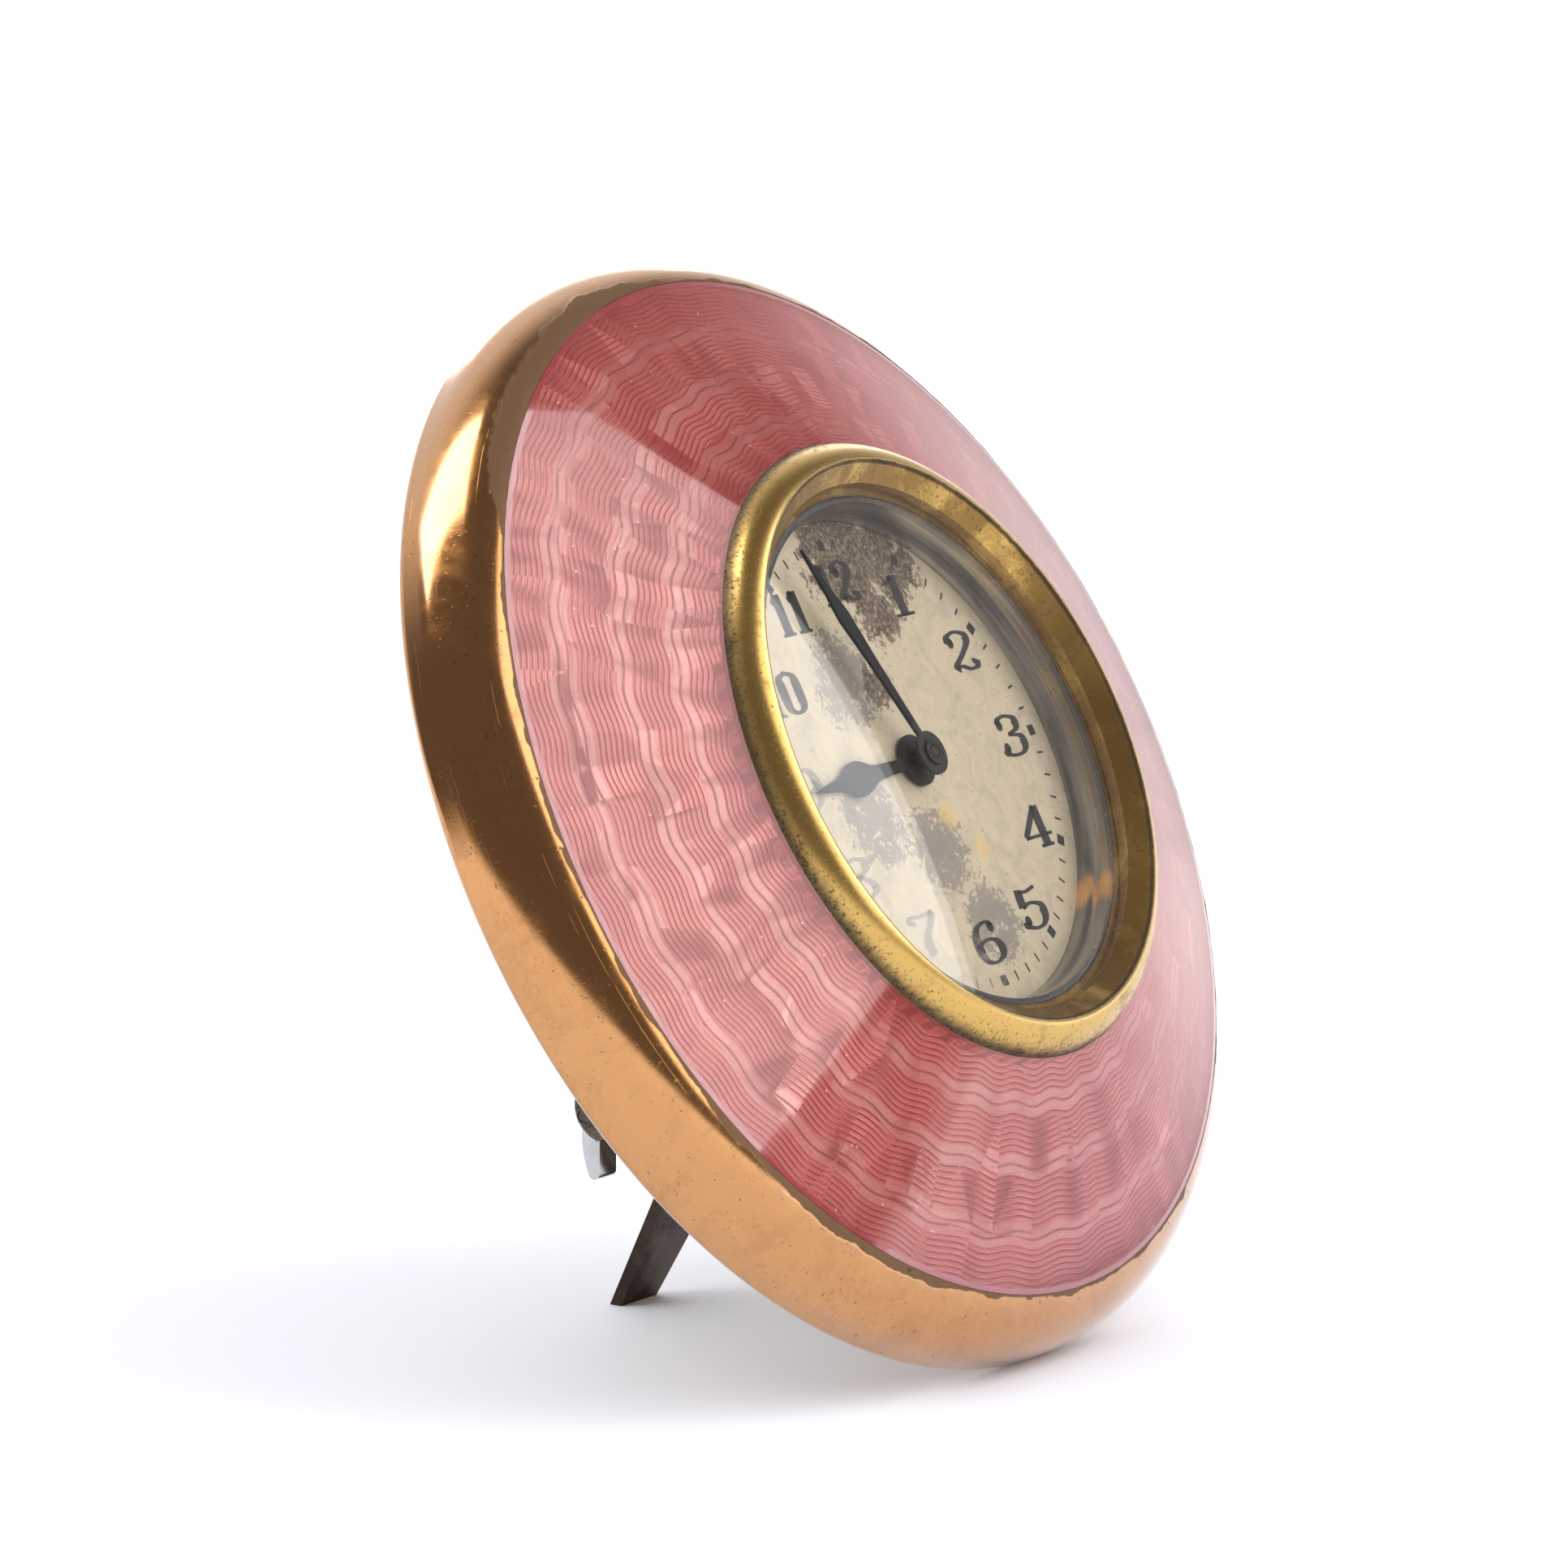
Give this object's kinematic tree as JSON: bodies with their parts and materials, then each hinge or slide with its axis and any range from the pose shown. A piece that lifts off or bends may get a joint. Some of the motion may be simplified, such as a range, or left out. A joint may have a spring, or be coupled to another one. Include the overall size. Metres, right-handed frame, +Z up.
{
  "type": "pendulette desk clock",
  "caption": "Round leaning desk clock with a gilt rim, a domed enamel ring over an engine-turned plate, a plain-number dial under glass, a folding strut and a winding key.",
  "frame": {"origin": "middle of the box's bottom face, on the surface that the clock stands on", "axes": "+X to the 3 o'clock side, -Y the way the dial faces, +Z up; the dial leans back 26.3 degrees"},
  "size_m": [0.1, 0.05, 0.0911],
  "materials": {
    "gilt_rim": "polished gilding, worn and tarnished",
    "gilt_bezel": "satin gilding, tarnished along its edges",
    "enamel": "translucent rose enamel, polished",
    "engine_turned": "engine-turned with fine wavy rings, bright",
    "brass": "brushed",
    "case_brass": "satin, dulled",
    "silvered": "matt silvering, printed in black",
    "reflector": "satin silvering",
    "glass": "clear, domed",
    "blackened_steel": "blackened",
    "steel": "polished",
    "blued_steel": "blued",
    "dark_steel": "darkened, worn",
    "strut_bronze": "dark brown patina"
  },
  "bodies": {
    "case": {"rim_ring": "gilt_rim", "case_back": "case_brass", "case_back_screws": "steel", "enamel_coat": "enamel", "engine_turned_plate": "engine_turned", "bezel": "gilt_bezel", "glass": "glass", "reflector_ring": "reflector", "movement_drum": "case_brass", "drum_lock_ring": "case_brass", "back_cover": "case_brass", "key_bush": "brass", "dial": "silvered", "dial_feet": "brass", "main_plate": "brass", "rear_plate": "brass", "frame_pillars": "brass", "frame_screws": "blued_steel", "movement_clamps": "steel", "clamp_screws": "steel", "click_screw": "steel", "click_spring": "steel", "minute_wheel_post": "steel", "hairspring": "blued_steel", "hairspring_stud": "steel", "hinge_bracket": "case_brass", "hinge_pin": "steel", "bracket_screws": "steel"},
    "strut": {"strut_leg": "strut_bronze"},
    "key": {"winding_key": "dark_steel", "winding_pinion": "steel", "wing_pin": "dark_steel"},
    "wing": {"winding_wing": "dark_steel"},
    "barrel_arbor_body": {"barrel_arbor": "steel", "ratchet_wheel": "steel", "ratchet_screw": "blued_steel"},
    "click_body": {"click": "steel"},
    "barrel_body": {"barrel": "brass", "barrel_cover": "brass", "mainspring": "steel"},
    "centre_body": {"centre_wheel": "brass"},
    "third_body": {"third_wheel": "brass"},
    "fourth_body": {"fourth_wheel": "brass"},
    "escape_body": {"escape_wheel": "steel"},
    "lever_body": {"pallet_lever": "steel"},
    "balance_body": {"balance_wheel": "brass", "balance_staff": "steel"},
    "minute_body": {"cannon_pinion": "steel", "minute_hand": "blackened_steel", "minute_hand_ring": "steel"},
    "hour_body": {"hour_wheel": "brass", "hour_hand": "blackened_steel"},
    "minute_wheel_body": {"minute_wheel": "brass"},
    "setting_body": {"setting_arbor": "steel", "setting_knob": "case_brass"}
  },
  "joints": [
    {"name": "strut_swing", "type": "hinge", "parent": "case", "child": "strut", "pos_m": [0, 0.00774, 0.02457], "axis": [1, 0, 0], "range_deg": [-54, 0]},
    {"name": "barrel_arbor_turn", "type": "hinge", "parent": "case", "child": "barrel_arbor_body", "pos_m": [-0.00715, -0.00129, 0.03835], "axis": [0, -0.8965, 0.4431], "continuous": true},
    {"name": "key_turn", "type": "hinge", "parent": "case", "child": "key", "pos_m": [-0.0088, -0.00535, 0.03015], "axis": [0, -0.8965, 0.4431], "continuous": true},
    {"name": "wing_fold", "type": "hinge", "parent": "key", "child": "wing", "pos_m": [-0.0088, 0.01823, 0.01849], "axis": [1, 0, 0], "range_deg": [-26, 150]},
    {"name": "click_lift", "type": "hinge", "parent": "case", "child": "click_body", "pos_m": [-0.01504, -0.00002, 0.04093], "axis": [0, -0.8965, 0.4431], "range_deg": [-12, 0], "stiffness_Nm_per_rad": 0.000002, "springref_deg": 28.65},
    {"name": "fourth_turn", "type": "hinge", "parent": "case", "child": "fourth_body", "pos_m": [0.00529, 0.00611, 0.05333], "axis": [0, -0.8965, 0.4431], "continuous": true},
    {"name": "third_turn", "type": "hinge", "parent": "case", "child": "third_body", "pos_m": [-0.00233, 0.00581, 0.05273], "axis": [0, -0.8965, 0.4431], "continuous": true},
    {"name": "centre_turn", "type": "hinge", "parent": "case", "child": "centre_body", "pos_m": [0, 0.00196, 0.04494], "axis": [0, -0.8965, 0.4431], "continuous": true},
    {"name": "barrel_turn", "type": "hinge", "parent": "case", "child": "barrel_body", "pos_m": [-0.00715, -0.00129, 0.03835], "axis": [0, -0.8965, 0.4431], "continuous": true},
    {"name": "escape_turn", "type": "hinge", "parent": "case", "child": "escape_body", "pos_m": [0.01127, 0.00487, 0.05083], "axis": [0, -0.8965, 0.4431], "continuous": true},
    {"name": "lever_rock", "type": "hinge", "parent": "case", "child": "lever_body", "pos_m": [0.01179, 0.00356, 0.04818], "axis": [0, -0.8965, 0.4431], "range_deg": [-5, 5]},
    {"name": "balance_swing", "type": "hinge", "parent": "case", "child": "balance_body", "pos_m": [0.01252, 0.00173, 0.04447], "axis": [0, -0.8965, 0.4431], "range_deg": [-140, 140], "stiffness_Nm_per_rad": 0.00000024},
    {"name": "minute_turn", "type": "hinge", "parent": "case", "child": "minute_body", "pos_m": [0, 0.00196, 0.04494], "axis": [0, -0.8965, 0.4431], "continuous": true},
    {"name": "hour_turn", "type": "hinge", "parent": "case", "child": "hour_body", "pos_m": [0, 0.00196, 0.04494], "axis": [0, -0.8965, 0.4431], "continuous": true},
    {"name": "minute_wheel_turn", "type": "hinge", "parent": "case", "child": "minute_wheel_body", "pos_m": [0.00386, -0.00007, 0.04082], "axis": [0, -0.8965, 0.4431], "continuous": true},
    {"name": "setting_turn", "type": "hinge", "parent": "case", "child": "setting_body", "pos_m": [0.00929, -0.0012, 0.03854], "axis": [0, -0.8965, 0.4431], "continuous": true}
  ],
  "couplings": [
    {"joint": "key_turn", "follows": "barrel_arbor_turn", "ratio": -2.4444},
    {"joint": "third_turn", "follows": "fourth_turn", "ratio": -0.13333},
    {"joint": "centre_turn", "follows": "fourth_turn", "ratio": 0.016667},
    {"joint": "barrel_turn", "follows": "fourth_turn", "ratio": -0.0028571},
    {"joint": "escape_turn", "follows": "fourth_turn", "ratio": -10},
    {"joint": "minute_wheel_turn", "follows": "minute_turn", "ratio": -0.33333},
    {"joint": "hour_turn", "follows": "minute_turn", "ratio": 0.083333},
    {"joint": "setting_turn", "follows": "minute_turn", "ratio": 1}
  ]
}
